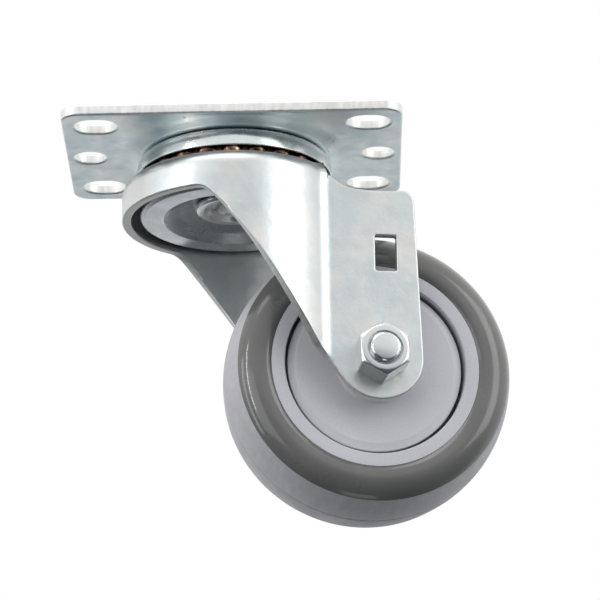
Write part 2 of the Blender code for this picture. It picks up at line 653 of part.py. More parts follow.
def make_bearing(label, side, axle, wheel, orbit):
    """Ball bearing: inner ring on the axle, outer ring in the hub, seven balls in a cage."""
    middle = side * BEARING_CENTRE
    half = BEARING_WIDTH / 2
    groove = BEARING_BALL_RADIUS + CLEARANCE
    inner_top = AXLE_BORE + BEARING_RING_WALL
    outer_bore = BEARING_OUTER_RADIUS - BEARING_RING_WALL

    reach = math.degrees(math.acos((BEARING_PITCH_RADIUS - inner_top) / groove))
    inner = [
        (inner_top, middle + half),
        *arc(BEARING_PITCH_RADIUS, middle, groove, 180 - reach, 180 + reach, 4),
        (inner_top, middle - half),
        (AXLE_BORE, middle - half),
        (AXLE_BORE, middle + half),
    ]
    finish(turned(f"bearing_inner_ring_{label}", inner, PARTS, steps=24), STEEL, axle)

    reach = math.degrees(math.acos((outer_bore - BEARING_PITCH_RADIUS) / groove))
    outer = [
        (BEARING_OUTER_RADIUS, middle + half),
        (BEARING_OUTER_RADIUS, middle - half),
        (outer_bore, middle - half),
        *arc(BEARING_PITCH_RADIUS, middle, groove, -reach, reach, 4),
        (outer_bore, middle + half),
    ]
    finish(turned(f"bearing_outer_ring_{label}", outer, PARTS, steps=28), STEEL, wheel)

    cage, balls = ball_ring(
        f"bearing_ball_cage_{label}",
        BEARING_PITCH_RADIUS,
        middle,
        BEARING_BALL_RADIUS,
        BEARING_BALL_COUNT,
        CAGE_RADIUS,
        21,
    )
    balls.parent = orbit
    finish(cage, STEEL, orbit)


def make_wheel_core(wheel):
    """Moulded core: rim, web and hub with a seat for a bearing at each end."""
    seat = BEARING_OUTER_RADIUS + CLEARANCE
    hub = seat + HUB_WALL
    bore = seat - HUB_SHOULDER
    shoulder = BEARING_GAP / 2 - CLEARANCE
    upper = [
        (bore, shoulder),
        (seat, shoulder),
        (seat, BEARING_FACE),
        (hub, BEARING_FACE),
        (hub, WEB_HALF_WIDTH),
        (RIM_INNER_RADIUS, WEB_HALF_WIDTH),
        (RIM_INNER_RADIUS, RIM_HALF_WIDTH),
        (RIM_OUTER_RADIUS, RIM_HALF_WIDTH),
    ]
    profile = upper + [(radius, -height) for radius, height in reversed(upper)]
    finish(turned("wheel_core", profile, PARTS, steps=48), GREY_PLASTIC, wheel)


def make_wheel_tread(wheel):
    """Tyre moulded over the rim, with a crowned running band and deep round shoulders."""
    bore = RIM_OUTER_RADIUS + CLEARANCE
    round_over = min(TREAD_SHOULDER, TREAD_THICKNESS - TREAD_CROWN - CLEARANCE)
    band = TREAD_HALF_WIDTH - round_over
    curve = TREAD_CROWN / TREAD_HALF_WIDTH**2
    tilt = math.degrees(math.atan(2 * curve * band))
    side_radius = WHEEL_RADIUS - curve * band**2 - round_over
    shoulder = arc(side_radius, band, round_over, 90, tilt, TREAD_SHOULDER_STEPS)
    middle = [band * (1 - i / TREAD_BAND_STEPS) for i in range(1, TREAD_BAND_STEPS)]
    upper = [(bore, RIM_HALF_WIDTH), *shoulder]
    upper += [(WHEEL_RADIUS - curve * height**2, height) for height in middle]
    profile = upper + [(WHEEL_RADIUS, 0)]
    profile += [(radius, -height) for radius, height in reversed(upper)]
    finish(turned("wheel_tread", profile, PARTS, steps=64), TREAD_GREY, wheel)


def main():
    make_top_plate()
    make_upper_race_ring()
    make_kingpin()
    make_lower_race_cup()
    make_upper_balls()
    lower_balls = ball_ring(
        "lower_ball_row",
        LOWER_PITCH_RADIUS,
        LOWER_BALL_Z,
        LOWER_BALL_RADIUS,
        LOWER_BALL_COUNT,
        LOWER_BAR_RADIUS,
        LOWER_BALL_COUNT,
    )
    finish(lower_balls[0], STEEL)

    swivel = empty("swivel_axis", (0, 0, 0), (0, 0, REST_SWIVEL))
    axle = empty("axle_axis", (TRAIL, 0, -AXLE_DROP), (-math.pi / 2, 0, 0), swivel)
    wheel = empty("wheel_axis", (0, 0, 0), (0, 0, 0), axle)
    orbit = empty("ball_cage_axis", (0, 0, 0), (0, 0, 0), axle)
    make_fork(swivel)
    make_axle(axle)
    for label, side in (("near", -1), ("far", 1)):
        make_thread_guard(f"thread_guard_{label}", side, axle)
        make_bearing(label, side, axle, wheel, orbit)
    make_wheel_core(wheel)
    make_wheel_tread(wheel)


clear_scene()
PARTS = new_collection("swivel_plate_caster")
CUTTERS = new_collection("cutters")
main()
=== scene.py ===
"""Looks of the swivel plate caster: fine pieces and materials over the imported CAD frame.

Lengths are in metres, in the frame's axes: X along the plate, Y away from the camera, Z up.
"Fork axes" are those axes turned about Z so that X follows the fork's trail. "Axle axes"
have Z along the axle, pointing away from the camera, with the wheel's middle at the origin.
"""

import json
import math

import bmesh
import bpy
from mathutils import Matrix, Vector


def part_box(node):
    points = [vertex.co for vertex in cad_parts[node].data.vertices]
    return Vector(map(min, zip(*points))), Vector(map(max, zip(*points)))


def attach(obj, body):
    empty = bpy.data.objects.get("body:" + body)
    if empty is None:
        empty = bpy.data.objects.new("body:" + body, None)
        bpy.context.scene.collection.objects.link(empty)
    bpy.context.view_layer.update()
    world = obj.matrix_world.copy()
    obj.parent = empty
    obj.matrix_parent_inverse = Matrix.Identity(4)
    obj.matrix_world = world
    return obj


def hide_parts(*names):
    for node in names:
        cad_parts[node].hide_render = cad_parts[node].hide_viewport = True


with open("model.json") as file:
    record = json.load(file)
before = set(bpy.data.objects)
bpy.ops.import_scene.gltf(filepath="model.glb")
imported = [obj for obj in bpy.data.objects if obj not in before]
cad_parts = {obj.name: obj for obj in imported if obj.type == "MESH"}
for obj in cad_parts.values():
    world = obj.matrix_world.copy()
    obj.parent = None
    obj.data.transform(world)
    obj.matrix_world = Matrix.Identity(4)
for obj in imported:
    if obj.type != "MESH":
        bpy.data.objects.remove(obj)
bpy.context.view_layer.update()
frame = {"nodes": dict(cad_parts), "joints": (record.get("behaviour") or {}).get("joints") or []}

MM = 0.001
JOINTS = {joint["name"]: joint for joint in frame["joints"]}
SPIN = JOINTS["wheel_spin"]
AXLE_PLACE = Vector(SPIN["pos_m"])
AXLE_LINE = Vector(SPIN["axis"])
SWIVEL = math.atan2(-AXLE_LINE.x, AXLE_LINE.y)
TO_FORK = Matrix.Rotation(SWIVEL, 4, "Z")
TO_AXLE = Matrix.Translation(AXLE_PLACE) @ TO_FORK @ Matrix.Rotation(-math.pi / 2, 4, "X")

# Sizes shared with the CAD model
TRAIL = 35.2 * MM
AXLE_DROP = -AXLE_PLACE.z
PLATE_LENGTH = 91.5 * MM
PLATE_WIDTH = 63.6 * MM
PLATE_THICKNESS = 3.0 * MM
PLATE_CORNER = 5.0 * MM
SLOT_SPACING = (73.4 * MM, 45.2 * MM)
SLOT_SIZE = (11.6 * MM, 9.8 * MM)
SIDE_HOLE_SPACING = 78.8 * MM
SIDE_HOLE_DIAMETER = 8.8 * MM
PLATE_MARGIN = 0.8 * MM
DISH_RADIUS = 31.0 * MM
DISH_SLOPE = 6.0 * MM
DISH_DEPTH = 1.5 * MM
FORK_RADIUS = 30.7 * MM
FORK_SHOULDER = 4.0 * MM
FORK_LEG_FACE = 22.8 * MM
FORK_FOLD = 6.0 * MM
FORK_HOLE = 17.5 * MM
FORK_SHEET = 2.4 * MM
LOBE_RADIUS = 11.7 * MM
NUT_ACROSS = 13.0 * MM
NUT_HEIGHT = 8.0 * MM
NUT_TURN = math.radians(-3)
BOLT_HEAD = 5.3 * MM
UPPER_BALLS = 22
BALL_RADIUS = 3.175 * MM
BALL_PITCH_RADIUS = 22.5 * MM
BALL_GROOVE_RADIUS = 3.5 * MM
LOWER_BALLS = 32
LOWER_BALL_RADIUS = 2.0 * MM
LOWER_PITCH_RADIUS = 21.5 * MM
BOLT_RADIUS = 4.0 * MM
CROWN_END = 22.1 * MM
CROWN_REAR_RADIUS = 26.3 * MM
BALL_ROW_Z = sum(corner[2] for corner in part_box("upper_ball_01")) / 2
CROWN_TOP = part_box("fork")[1][2]

# Sizes of the fine shape only
LEG_MARGIN = 0.7 * MM
CORNER_LEAN = 1.4 * MM


# ---------------------------------------------------------------- mesh helpers


def arc(centre_x, centre_y, radius, start, end, steps):
    """Points on a circle, from the start angle to the end angle in degrees."""
    turns = [math.radians(start + (end - start) * i / steps) for i in range(steps + 1)]
    return [(centre_x + radius * math.cos(t), centre_y + radius * math.sin(t)) for t in turns]


def rounded(points, radii, steps=6, closed=True):
    """An outline with each corner replaced by an arc of its own radius."""
    result = []
    count = len(points)
    for i, (point, radius) in enumerate(zip(points, radii)):
        here = Vector(point)
        if radius <= 0 or (not closed and i in (0, count - 1)):
            result.append(tuple(here))
            continue
        back = (Vector(points[i - 1]) - here).normalized()
        ahead = (Vector(points[(i + 1) % count]) - here).normalized()
        half = back.angle(ahead) / 2
        reach = radius / math.tan(half)
        centre = here + (back + ahead).normalized() * (radius / math.sin(half))
        start = here + back * reach - centre
        end = here + ahead * reach - centre
        for step in range(steps + 1):
            share = step / steps
            swing = start.lerp(end, share).normalized() * radius
            result.append(tuple(centre + swing))
    return result


def moved_sideways(points, amount):
    """A closed outline with every side moved to its left by the amount."""
    sides = []
    for i, point in enumerate(points):
        along = (Vector(point) - Vector(points[i - 1])).normalized()
        sides.append(Vector((-along.y, along.x)))
    result = []
    for i, point in enumerate(points):
        left, right = sides[i], sides[(i + 1) % len(points)]
        result.append(tuple(Vector(point) + (left + right) * (amount / (1 + left.dot(right)))))
    return result


def flat_sheet(work, outlines, margin, place):
    """Flat area inside the first outline and outside the others, all anticlockwise.

    A strip of even faces follows each outline, so its edge rounds cleanly.
    """
    edges = []
    for number, points in enumerate(outlines):
        inner = moved_sideways(points, margin if number == 0 else -margin)
        rim = [work.verts.new(place(*point)) for point in points]
        bank = [work.verts.new(place(*point)) for point in inner]
        for i in range(len(points)):
            j = (i + 1) % len(points)
            work.faces.new((rim[i], rim[j], bank[j], bank[i]))
            edges.append(work.edges.get((bank[i], bank[j])))
    bmesh.ops.triangle_fill(work, use_beauty=True, edges=edges)


def new_object(name, mesh, place=None):
    obj = bpy.data.objects.new(name, mesh)
    bpy.context.scene.collection.objects.link(obj)
    if place is not None:
        obj.matrix_world = place
    return obj


def mesh_from(name, work, place=None):
    """The bmesh as a smooth-shaded object; sharp edges stay sharp."""
    mesh = bpy.data.meshes.new(name)
    work.to_mesh(mesh)
    work.free()
    mesh.shade_smooth()
    mesh.set_sharp_from_angle(angle=math.radians(38))
    return new_object(name, mesh, place)


def lathe(name, profile, place=None, steps=192):
    """A closed profile of (radius, height) points turned about Z."""
    work = bmesh.new()
    rings = []
    for step in range(steps):
        turn = 2 * math.pi * step / steps
        c, s = math.cos(turn), math.sin(turn)
        rings.append([work.verts.new((r * c, r * s, z)) for r, z in profile])
    count = len(profile)
    for step in range(steps):
        ring, following = rings[step], rings[(step + 1) % steps]
        for i in range(count):
            j = (i + 1) % count
            work.faces.new((ring[i], ring[j], following[j], following[i]))
    bmesh.ops.remove_doubles(work, verts=work.verts, dist=1e-7)
    bmesh.ops.recalc_face_normals(work, faces=work.faces)
    return mesh_from(name, work, place)


def modifier(obj, name, kind, **values):
    made = obj.modifiers.new(name, kind)
    for key, value in values.items():
        setattr(made, key, value)
    return made


def soften(obj, width, segments=3, angle=35):
    """Rounds the sharp edges a little, as pressing and tumbling do."""
    modifier(
        obj, "rounded edges", "BEVEL",
        width=width, segments=segments, limit_method="ANGLE",
        angle_limit=math.radians(angle), use_clamp_overlap=False,
    )
    modifier(obj, "even shading", "WEIGHTED_NORMAL", keep_sharp=True, weight=60)


def put(obj, body, look, slot, *nodes):
    """Gives a finished piece its materials and its body, and hides the CAD nodes it stands for."""
    for material in look if isinstance(look, (list, tuple)) else [look]:
        obj.data.materials.append(material)
    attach(obj, body)
    if nodes:
        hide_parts(*nodes)
    return obj


# ------------------------------------------------------------------- materials


class Look:
    """A Principled material built up node by node, in object coordinates."""

    def __init__(self, name, colour, roughness, metallic=0.0):
        self.material = bpy.data.materials.new(name)
        self.material.use_nodes = True
        self.nodes = self.material.node_tree.nodes
        self.links = self.material.node_tree.links
        self.shader = self.nodes["Principled BSDF"]
        self.shader.inputs["Base Color"].default_value = (*colour, 1)
        self.shader.inputs["Roughness"].default_value = roughness
        self.shader.inputs["Metallic"].default_value = metallic
        self.coords = self.nodes.new("ShaderNodeTexCoord").outputs["Object"]
        self.height = None

    def set(self, **values):
        for key, value in values.items():
            self.shader.inputs[key.replace("_", " ")].default_value = value

    def stretched(self, scale):
        mapping = self.nodes.new("ShaderNodeMapping")
        mapping.inputs["Scale"].default_value = scale
        self.links.new(self.coords, mapping.inputs["Vector"])
        return mapping.outputs["Vector"]

    def noise(self, scale, detail=3.0, stretch=None, rough=0.5):
        node = self.nodes.new("ShaderNodeTexNoise")
        node.inputs["Scale"].default_value = scale
        node.inputs["Detail"].default_value = detail
        node.inputs["Roughness"].default_value = rough
        self.links.new(self.stretched(stretch) if stretch else self.coords, node.inputs["Vector"])
        return node.outputs["Fac"]

    def ramp(self, source, stops):
        node = self.nodes.new("ShaderNodeValToRGB")
        ramp = node.color_ramp
        while len(ramp.elements) < len(stops):
            ramp.elements.new(0.5)
        for element, (place, colour) in zip(ramp.elements, stops):
            element.position = place
            element.color = (*colour, 1) if len(colour) == 3 else colour
        self.links.new(source, node.inputs["Fac"])
        return node.outputs["Color"]

    def colour(self, source, stops):
        self.links.new(self.ramp(source, stops), self.shader.inputs["Base Color"])

    def spread(self, source, low, high, target="Roughness"):
        node = self.nodes.new("ShaderNodeMapRange")
        node.inputs["From Min"].default_value = 0.3
        node.inputs["From Max"].default_value = 0.7
        node.inputs["To Min"].default_value = low
        node.inputs["To Max"].default_value = high
        self.links.new(source, node.inputs["Value"])
        self.links.new(node.outputs["Result"], self.shader.inputs[target])

    def bump(self, source, strength, depth):
        node = self.nodes.new("ShaderNodeBump")
        node.inputs["Strength"].default_value = strength
        node.inputs["Distance"].default_value = depth
        self.links.new(source, node.inputs["Height"])
        if self.height:
            self.links.new(self.height, node.inputs["Normal"])
        self.height = node.outputs["Normal"]
        self.links.new(self.height, self.shader.inputs["Normal"])


def zinc_look(name, cool, warm, roughness, wave=1.0):
    """Bright zinc plate: cool tint with faint warm clouds, hazy patches and slight waviness."""
    look = Look(name, cool, roughness, 1.0)
    middle = [(a + b) / 2 for a, b in zip(cool, warm)]
    look.colour(look.noise(95, 5.0, rough=0.62), [(0.36, cool), (0.52, middle), (0.66, warm)])
    look.spread(look.noise(210, 5.0, rough=0.6), roughness - 0.07, roughness + 0.10)
    look.bump(look.noise(1700, 3.0), 0.30 * wave, 0.05 * MM)
    look.bump(look.noise(620, 3.0), 0.25 * wave, 0.06 * MM)
    look.bump(look.noise(150, 2.0), 0.25 * wave, 0.30 * MM)
    return look.material


def cut_edge_look(name, dark, light):
    """Sheared sheet edge: rougher than the face, with fine upright tears."""
    look = Look(name, light, 0.45, 1.0)
    tears = look.noise(900, 4.0, stretch=(1.0, 1.0, 0.3))
    look.colour(tears, [(0.3, dark), (0.7, light)])
    look.spread(tears, 0.38, 0.58)
    look.bump(tears, 0.35, 0.12 * MM)
    return look.material


def turned_steel_look(name, light, dark, roughness):
    """Steel with fine rings round the Z axis, from turning or coining."""
    look = Look(name, light, roughness, 1.0)
    distance = look.nodes.new("ShaderNodeVectorMath")
    distance.operation = "LENGTH"
    flatten = look.stretched((1, 1, 0))
    look.links.new(flatten, distance.inputs[0])
    rings = look.nodes.new("ShaderNodeTexNoise")
    rings.noise_dimensions = "1D"
    rings.inputs["Scale"].default_value = 3500
    rings.inputs["Detail"].default_value = 3.0
    look.links.new(distance.outputs["Value"], rings.inputs["W"])
    look.colour(rings.outputs["Fac"], [(0.3, dark), (0.7, light)])
    look.spread(look.noise(200, 3.0), roughness - 0.05, roughness + 0.08)
    look.bump(rings.outputs["Fac"], 0.15, 0.04 * MM)
    return look.material


def moulded_look(name, light, dark, roughness, speckle=2400):
    """Moulded plastic: faint clouds, tiny speckle and a fine eggshell surface."""
    look = Look(name, light, roughness)
    grains = look.noise(speckle, 3.0, rough=0.7)
    look.colour(grains, [(0.30, dark), (0.62, light)])
    look.spread(look.noise(90, 3.0), roughness - 0.06, roughness + 0.06)
    look.bump(grains, 0.12, 0.05 * MM)
    look.bump(look.noise(60, 2.0), 0.05, 0.3 * MM)
    return look.material


def tread_side_look():
    """Glossy dark olive-grey tyre wall with faint flow marks from moulding."""
    look = Look("tread_side", (0.095, 0.095, 0.090), 0.22)
    clouds = look.noise(45, 3.0)
    look.colour(clouds, [(0.3, (0.140, 0.140, 0.135)), (0.7, (0.180, 0.179, 0.172))])
    look.spread(look.noise(110, 4.0), 0.17, 0.30)
    look.bump(look.noise(35, 2.0), 0.10, 0.5 * MM)
    look.bump(look.noise(1800, 2.0), 0.03, 0.05 * MM)
    look.set(Coat_Weight=0.8, Coat_Roughness=0.07)
    return look.material


def tread_band_look():
    """Running band: the same tyre, paler and duller, with a light dusting of fine scuffs."""
    look = Look("tread_band", (0.30, 0.295, 0.315), 0.5)
    scuffs = look.noise(500, 5.0, stretch=(1.0, 1.0, 0.4), rough=0.65)
    look.colour(scuffs, [(0.3, (0.51, 0.505, 0.53)), (0.7, (0.60, 0.595, 0.625))])
    look.spread(look.noise(120, 3.0), 0.42, 0.58)
    look.bump(scuffs, 0.10, 0.08 * MM)
    return look.material


def greased_ball_look():
    """Steel ball in amber grease."""
    look = Look("greased_ball", (0.30, 0.16, 0.07), 0.14, 1.0)
    smear = look.noise(520, 4.0)
    stops = [
        (0.40, (0.035, 0.014, 0.007)),
        (0.56, (0.22, 0.10, 0.045)),
        (0.70, (0.75, 0.58, 0.36)),
    ]
    look.colour(smear, stops)
    look.spread(smear, 0.10, 0.30)
    look.bump(look.noise(900, 3.0), 0.35, 0.1 * MM)
    look.set(Coat_Weight=0.5, Coat_Roughness=0.08)
    return look.material


def grease_look():
    """Dark amber grease packed behind the balls."""
    look = Look("grease", (0.08, 0.030, 0.014), 0.25)
    lumps = look.noise(500, 4.0)
    look.colour(lumps, [(0.35, (0.030, 0.012, 0.007)), (0.7, (0.20, 0.065, 0.025))])
    look.spread(lumps, 0.15, 0.4)
    look.bump(lumps, 0.6, 0.4 * MM)
    return look.material


ZINC_PLATE = zinc_look("zinc_plate", (0.66, 0.77, 0.80), (0.80, 0.83, 0.82), 0.32, 0.8)
ZINC_FORK = zinc_look("zinc_fork", (0.70, 0.755, 0.77), (0.82, 0.82, 0.795), 0.36, 1.5)
ZINC_RACE = zinc_look("zinc_race", (0.80, 0.88, 0.89), (0.94, 0.95, 0.92), 0.26, 0.8)
ZINC_BRIGHT = zinc_look("zinc_bright", (0.78, 0.82, 0.83), (0.87, 0.87, 0.84), 0.18, 0.5)
PLATE_EDGE = cut_edge_look("plate_cut_edge", (0.84, 0.84, 0.81), (0.98, 0.98, 0.95))
FORK_EDGE = cut_edge_look("fork_cut_edge", (0.56, 0.56, 0.55), (0.76, 0.76, 0.74))
CUP_STEEL = turned_steel_look("cup_steel", (0.66, 0.68, 0.70), (0.54, 0.56, 0.58), 0.27)
BEARING_STEEL = turned_steel_look("bearing_steel", (0.60, 0.60, 0.60), (0.48, 0.48, 0.48), 0.22)
CORE_GREY = moulded_look("core_grey", (0.700, 0.695, 0.745), (0.62, 0.615, 0.66), 0.55)
GUARD_GREY = moulded_look("guard_grey", (0.740, 0.736, 0.770), (0.68, 0.675, 0.71), 0.50)
TREAD_SIDE = tread_side_look()
TREAD_BAND = tread_band_look()
GREASED_BALL = greased_ball_look()
GREASE = grease_look()


# ------------------------------------------------------------------- top plate


def slot_points(x, y, length, width, steps=16):
    reach = (length - width) / 2
    right = arc(x + reach, y, width / 2, -90, 90, steps)
    left = arc(x - reach, y, width / 2, 90, 270, steps)
    return right + left if reach > 1e-6 else right[:-1] + left[:-1]


def dish_height(radius):
    """How far the sheet is pressed down at this distance from the swivel axis."""
    share = min(max((DISH_RADIUS - radius) / DISH_SLOPE, 0), 1)
    return -DISH_DEPTH * share * share


def make_top_plate():
    """Pressed sheet with rounded slots, a shallow dish round the kingpin and sheared edges."""
    work = bmesh.new()
    x, y = PLATE_LENGTH / 2, PLATE_WIDTH / 2
    corners = [(x, y), (-x, y), (-x, -y), (x, -y)]
    outlines = [rounded(corners, [PLATE_CORNER] * 4, steps=12)]
    for side in (-1, 1):
        for end in (-1, 1):
            place = (side * SLOT_SPACING[0] / 2, end * SLOT_SPACING[1] / 2)
            outlines.append(slot_points(*place, *SLOT_SIZE))
        hole = (side * SIDE_HOLE_SPACING / 2, 0, SIDE_HOLE_DIAMETER, SIDE_HOLE_DIAMETER)
        outlines.append(slot_points(*hole))
    around = 144
    outlines.append(arc(0, 0, DISH_RADIUS, 0, 360, around)[:-1])
    flat_sheet(work, outlines, PLATE_MARGIN, lambda px, py: (px, py, 0))
    hub = 7 * MM
    slope = [DISH_RADIUS - DISH_SLOPE * i / 16 for i in range(17)]
    radii = slope + [slope[-1] + (hub - slope[-1]) * i / 5 for i in range(1, 6)]
    rings = []
    for radius in radii:
        points = arc(0, 0, radius, 0, 360, around)[:-1]
        rings.append([work.verts.new((px, py, dish_height(radius))) for px, py in points])
    for outer, inner in zip(rings, rings[1:]):
        for i in range(around):
            j = (i + 1) % around
            work.faces.new((outer[i], outer[j], inner[j], inner[i]))
    bmesh.ops.remove_doubles(work, verts=work.verts, dist=1e-7)
    bmesh.ops.recalc_face_normals(work, faces=work.faces)
    work.normal_update()
    if sum(face.normal.z for face in work.faces) < 0:
        bmesh.ops.reverse_faces(work, faces=work.faces)
    plate = mesh_from("plate", work)
    modifier(
        plate, "sheet", "SOLIDIFY",
        thickness=PLATE_THICKNESS, offset=-1, use_even_offset=True, material_offset_rim=1,
    )
    soften(plate, 0.55 * MM, 4)
    put(plate, "plate", [ZINC_PLATE, PLATE_EDGE], "zinc_plate", "top_plate")


# ---------------------------------------------------------------------- swivel


def make_race_ring():
    """Pressed race: a cool upper band, then a bright flare that ends in a rolled lip."""
    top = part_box("upper_race_ring")[1][2]
    groove = arc(BALL_PITCH_RADIUS, BALL_ROW_Z, BALL_GROOVE_RADIUS, 8, 168, 24)
    turns = [math.radians(90 * i / 16) for i in range(17)]
    flare = [(24.5 * MM + 2.1 * MM * math.sin(t), top - 3.6 * MM * (1 - math.cos(t))) for t in turns]
    profile = [
        (24.5 * MM, top),
        *flare[2:],
        (26.7 * MM, top - 5.15 * MM),
        (26.2 * MM, top - 5.35 * MM),
        *groove,
        (17.8 * MM, groove[-1][1]),
        (17.8 * MM, top - 1.7 * MM),
        (6.8 * MM, top - 1.7 * MM),
        (6.8 * MM, top),
    ]
    radii = [0.15 * MM] + [0] * len(flare[2:]) + [0.25 * MM, 0.2 * MM] + [0] * len(groove) + [0] * 4
    ring = lathe("race_ring", rounded(profile, radii), steps=256)
    put(ring, "plate", ZINC_RACE, "zinc_plate", "upper_race_ring")


def make_kingpin():
    """Riveted pin: flat head above, flared and hollowed end below."""
    low, high = (corner[2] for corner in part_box("kingpin"))
    flare_top = low + 1.4 * MM
    profile = [
        (0, high),
        (10.0 * MM, high),
        (10.0 * MM, high - 0.9 * MM),
        (6.5 * MM, high - 0.9 * MM),
        (6.5 * MM, -6.8 * MM),
        (9.0 * MM, -6.8 * MM),
        (9.0 * MM, -15.6 * MM),
        (6.5 * MM, -15.6 * MM),
        (6.5 * MM, flare_top),
        (10.5 * MM, flare_top),
        (10.8 * MM, flare_top - 0.6 * MM),
        (10.3 * MM, low),
        (8.3 * MM, low),
        (7.3 * MM, low + 1.4 * MM),
        (4.6 * MM, low + 3.6 * MM),
        (0, low + 4.2 * MM),
    ]
    radii = [0, 0.4 * MM, 0, 0, 0, 0, 0, 0, 0, 0.1 * MM, 0.3 * MM, 0.5 * MM, 0.5 * MM, 0.5 * MM, 0.8 * MM, 0]
    pin = lathe("kingpin_rivet", rounded(profile, radii, closed=False), steps=128)
    put(pin, "plate", ZINC_BRIGHT, "zinc_plate", "kingpin")


def make_race_cup():
    """Dished washer: rolled rim, flat brushed ring and a bright hollow round the kingpin."""
    low, high = (corner[2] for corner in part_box("lower_race_cup"))
    hub_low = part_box("kingpin")[0][2] + 1.7 * MM
    sheet = 1.3 * MM
    under = [
        (26.0 * MM, high),
        (26.0 * MM, low),
        (19.5 * MM, low),
        (15.5 * MM, low + 2.3 * MM),
        (11.0 * MM, hub_low),
        (6.8 * MM, hub_low),
    ]
    over = [
        (6.8 * MM, hub_low + sheet),
        (10.6 * MM, hub_low + sheet),
        (15.0 * MM, low + 2.3 * MM + sheet),
        (19.2 * MM, low + sheet),
        (24.7 * MM, low + sheet),
        (24.7 * MM, high),
    ]
    under_radii = [0.5 * MM, 1.3 * MM, 0.7 * MM, 12 * MM, 4 * MM, 0.1 * MM]
    over_radii = [0.1 * MM, 4 * MM, 6 * MM, 0.8 * MM, 0.8 * MM, 0.5 * MM]
    radii = under_radii + over_radii
    cup = lathe("race_cup", rounded(under + over, radii, steps=10), steps=256)
    put(cup, "plate", CUP_STEEL, "zinc_plate", "lower_race_cup")


def make_balls():
    """Loose balls of the upper row, each turned its own way, with grease behind them, and the lower row."""
    work = bmesh.new()
    bmesh.ops.create_icosphere(work, subdivisions=4, radius=BALL_RADIUS)
    first = mesh_from("race_ball_01", work)
    first.data.materials.append(GREASED_BALL)
    for number in range(1, UPPER_BALLS + 1):
        node = f"upper_ball_{number:02d}"
        low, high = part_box(node)
        place = Vector([(a + b) / 2 for a, b in zip(low, high)])
        ball = first if number == 1 else new_object(f"race_ball_{number:02d}", first.data)
        ball.matrix_world = Matrix.Translation(place) @ Matrix.Rotation(number * 1.7, 4, (1, 2, number % 5))
        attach(ball, "upper_ball_row")
        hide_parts(node)
    grease = arc(BALL_PITCH_RADIUS - 0.6 * MM, BALL_ROW_Z - 0.5 * MM, 2.4 * MM, 0, -345, 23)
    film = lathe("upper_grease", grease, steps=144)
    put(film, "upper_ball_row", GREASE, "ball_steel")
    low_z = sum(c[2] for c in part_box("lower_ball_row")) / 2
    work = bmesh.new()
    for number in range(LOWER_BALLS):
        turn = 2 * math.pi * (number + 0.5) / LOWER_BALLS
        x, y = LOWER_PITCH_RADIUS * math.cos(turn), LOWER_PITCH_RADIUS * math.sin(turn)
        place = Matrix.Translation((x, y, low_z))
        bmesh.ops.create_icosphere(work, subdivisions=3, radius=LOWER_BALL_RADIUS, matrix=place)
    lower = mesh_from("lower_balls", work)
    put(lower, "lower_ball_row", GREASED_BALL, "ball_steel", "lower_ball_row")


# ------------------------------------------------------------------------ fork


def lower_edge(x):
    """Height of the sheet's lower edge at this place along the trail, ahead of the lobe."""
    skirt = -22.55 * MM
    ear_start, ear_x, ear_z = -14.5 * MM, -10.8 * MM, -24.3 * MM
    foot_x, foot_z = 25.75 * MM, -74.2 * MM
    if x <= ear_start:
        return skirt
    if x <= ear_x:
        share = (x - ear_start) / (ear_x - ear_start)
        return skirt + (ear_z - skirt) * share * share
    share = (x - ear_x) / (foot_x - ear_x)
    bow = 11.0 * MM * share * (1 - share) ** 2
    return ear_z + (foot_z - ear_z) * share + bow


def upper_edge_points():
    """The leg's free upper edge, from the crown's rear to the rear edge."""
    return [
        (24.2 * MM, -17.6 * MM),
        (25.8 * MM, -18.7 * MM),
        (27.7 * MM, -19.45 * MM),
        (30.0 * MM, -19.9 * MM),
        (33.2 * MM, -20.15 * MM),
        (37.5 * MM, -20.15 * MM),
    ]


def crown_height(radius, inset):
    """Height of the crown's top: a ball groove, then a round shoulder towards the wall."""
    depth = BALL_GROOVE_RADIUS * BALL_GROOVE_RADIUS - (radius - BALL_PITCH_RADIUS) ** 2
    dip = 0.0
    if depth > 0:
        floor = BALL_ROW_Z - math.sqrt(depth)
        dip = min(0.0, floor - CROWN_TOP)
    if inset >= FORK_SHOULDER:
        return CROWN_TOP + dip
    rise = FORK_SHOULDER**2 - (FORK_SHOULDER - inset) ** 2
    return CROWN_TOP - FORK_SHOULDER + math.sqrt(max(rise, 0))


def plan_points():
    """Near half of the outer wall seen from above, front to leg, as (x, y) points."""
    centre_y = FORK_LEG_FACE + FORK_FOLD
    centre_x = math.sqrt((FORK_RADIUS + FORK_FOLD) ** 2 - centre_y**2)
    meet = math.degrees(math.atan2(centre_y, centre_x))
    front = arc(0, 0, FORK_RADIUS, 180, 360 - meet, 92)
    fold = arc(centre_x, -centre_y, FORK_FOLD, 180 - meet, 90, 16)
    crossing = math.degrees(math.acos((CROWN_END - centre_x) / FORK_FOLD))
    at_end = (CROWN_END, -centre_y + FORK_FOLD * math.sin(math.radians(crossing)))
    points = front + fold[1:]
    points.append(at_end)
    return sorted(set(points), key=lambda p: (p[0], p[1]))


